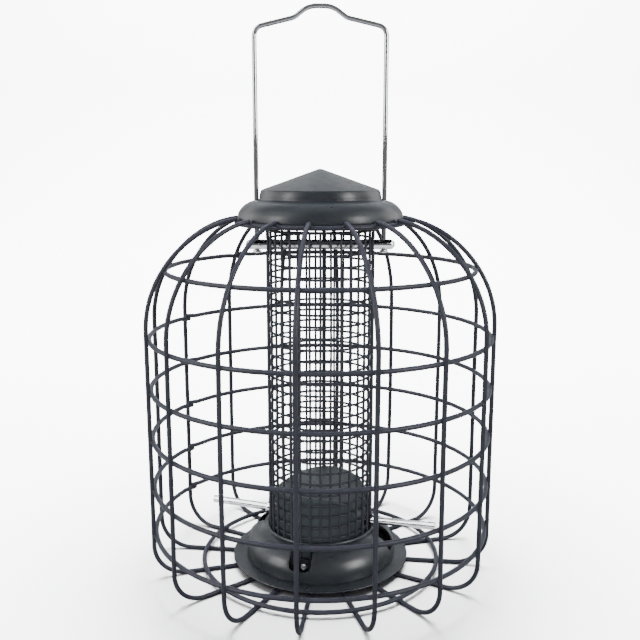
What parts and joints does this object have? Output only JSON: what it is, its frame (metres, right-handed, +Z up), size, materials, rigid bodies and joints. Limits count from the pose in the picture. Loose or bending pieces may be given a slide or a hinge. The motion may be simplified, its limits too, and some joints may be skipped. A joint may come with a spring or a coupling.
{
  "type": "squirrel proof bird feeder",
  "caption": "Hanging mesh nut tube in a round welded wire cage, with a pressed lid that slides up a chrome wire handle, a domed base on a tray and two perches.",
  "frame": {"origin": "on the floor under the tube's axis, in the plane of the cage's spokes", "axes": "+Z up along the tube, X along the cross bar between the handle's legs, front towards -Y"},
  "size_m": [0.2176, 0.2176, 0.3494],
  "materials": {
    "cage_coat": "satin",
    "powder_coat": "satin",
    "mesh_coat": "satin",
    "chrome": "polished",
    "plastic": "gloss",
    "steel": "satin"
  },
  "bodies": {
    "feeder": {"cage_wire_01": "cage_coat", "cage_wire_02": "cage_coat", "cage_wire_03": "cage_coat", "cage_wire_04": "cage_coat", "cage_wire_05": "cage_coat", "cage_wire_06": "cage_coat", "cage_wire_07": "cage_coat", "cage_wire_08": "cage_coat", "cage_wire_09": "cage_coat", "cage_wire_10": "cage_coat", "cage_wire_11": "cage_coat", "cage_wire_12": "cage_coat", "cage_wire_13": "cage_coat", "cage_wire_14": "cage_coat", "cage_wire_15": "cage_coat", "cage_wire_16": "cage_coat", "cage_side_ring_1": "cage_coat", "cage_side_ring_2": "cage_coat", "cage_side_ring_3": "cage_coat", "cage_side_ring_4": "cage_coat", "cage_side_ring_5": "cage_coat", "cage_side_ring_6": "cage_coat", "cage_top_ring": "cage_coat", "cage_floor_ring": "cage_coat", "hub_plate": "cage_coat", "base_dome": "powder_coat", "base_tray": "powder_coat", "mesh_uprights": "mesh_coat", "mesh_hoops": "mesh_coat", "handle": "chrome", "handle_stop_left": "chrome", "handle_stop_right": "chrome", "crossbar": "chrome", "perch_left": "chrome", "perch_right": "chrome", "perch_collar_left": "chrome", "perch_collar_right": "chrome", "seed_baffle": "plastic", "base_screw_front": "steel", "base_screw_back": "steel", "hub_screw": "steel", "hub_nut": "steel"},
    "lid": {"lid": "powder_coat"}
  },
  "joints": [
    {"name": "lid_lift", "type": "slide", "parent": "feeder", "child": "lid", "axis": [0, 0, 1], "range_m": [0, 0.085]}
  ]
}
